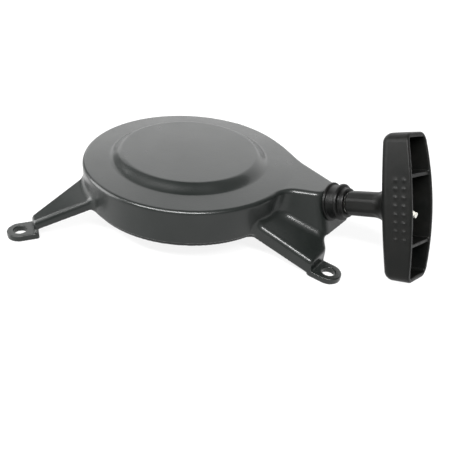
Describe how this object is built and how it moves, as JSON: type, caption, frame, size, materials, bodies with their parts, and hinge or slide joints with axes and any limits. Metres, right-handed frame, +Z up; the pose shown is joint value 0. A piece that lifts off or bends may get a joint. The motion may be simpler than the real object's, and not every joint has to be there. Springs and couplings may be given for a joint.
{
  "type": "recoil starter",
  "caption": "Pull-cord starter for a small engine: black drum cover on three legs, spring-loaded rope reel with pawls inside, T-handle on a cord guide.",
  "frame": {"origin": "middle of the bounding box in plan, on the plane of the three lug undersides", "axes": "+Z up from the engine's face, along the reel axis; +X towards the handle; the handle pulls out towards +X and -Y"},
  "size_m": [0.2402, 0.1912, 0.0845],
  "materials": {
    "cover_paint": "satin black paint over a die-cast cover",
    "black_plastic": "moulded black nylon",
    "reel_plastic": "moulded dark grey nylon",
    "zinc_steel": "zinc-plated steel",
    "spring_steel": "blued spring steel",
    "bronze": "sintered bronze",
    "cord": "braided starter cord"
  },
  "bodies": {
    "cover": {"housing": "cover_paint", "centre_post": "zinc_steel", "spring_case": "zinc_steel", "spring_cover": "zinc_steel", "mainspring": "spring_steel", "friction_spring": "spring_steel", "thrust_washer": "zinc_steel", "lock_washer": "spring_steel", "centre_screw": "zinc_steel", "rope_guide": "black_plastic", "guide_eyelet": "zinc_steel", "guide_clip": "spring_steel", "rope_run": "cord"},
    "reel": {"reel": "reel_plastic", "reel_bush": "bronze", "rope_coil": "cord", "reel_knot": "cord", "pawl_pin_1": "zinc_steel", "pawl_pin_2": "zinc_steel", "pawl_spring_1": "spring_steel", "pawl_spring_2": "spring_steel"},
    "drive_plate": {"drive_plate": "zinc_steel"},
    "pawl_1": {"pawl_1": "zinc_steel"},
    "pawl_2": {"pawl_2": "zinc_steel"},
    "pull_cord": {"rope_lead": "cord", "handle_knot": "cord"},
    "handle": {"handle_grip": "black_plastic", "handle_washer": "zinc_steel"}
  },
  "joints": [
    {"name": "handle_pull", "type": "slide", "parent": "cover", "child": "pull_cord", "axis": [0.7481, -0.5637, 0.3502], "range_m": [0, 0.9], "stiffness_N_per_m": 40, "springref_m": -0.45, "deforming": ["rope_lead"]},
    {"name": "handle_swivel", "type": "hinge", "parent": "pull_cord", "child": "handle", "pos_m": [0.07147, -0.04565, 0.032], "axis": [0.7481, -0.5637, 0.3502], "range_deg": [-180, 180]},
    {"name": "reel_spin", "type": "hinge", "parent": "cover", "child": "reel", "pos_m": [-0.01818, -0.01625, 0.0244], "axis": [0, 0, -1], "range_deg": [0, 1345], "deforming": ["mainspring"]},
    {"name": "drive_plate_turn", "type": "hinge", "parent": "reel", "child": "drive_plate", "pos_m": [-0.01818, -0.01625, 0.0112], "axis": [0, 0, 1], "range_deg": [0, 28]},
    {"name": "pawl_1_swing", "type": "hinge", "parent": "reel", "child": "pawl_1", "pos_m": [0.00182, -0.01625, 0.0146], "axis": [0, 0, 1], "range_deg": [0, 28], "stiffness_Nm_per_rad": 0.01, "springref_deg": -11.46, "deforming": ["pawl_spring_1"]},
    {"name": "pawl_2_swing", "type": "hinge", "parent": "reel", "child": "pawl_2", "pos_m": [-0.03818, -0.01625, 0.0146], "axis": [0, 0, 1], "range_deg": [0, 28], "stiffness_Nm_per_rad": 0.01, "springref_deg": -11.46, "deforming": ["pawl_spring_2"]}
  ],
  "couplings": [
    {"joint": "reel_spin", "follows": "handle_pull", "rad_per_m": 26.042},
    {"joint": "pawl_1_swing", "follows": "drive_plate_turn", "ratio": 1},
    {"joint": "pawl_2_swing", "follows": "drive_plate_turn", "ratio": 1}
  ]
}
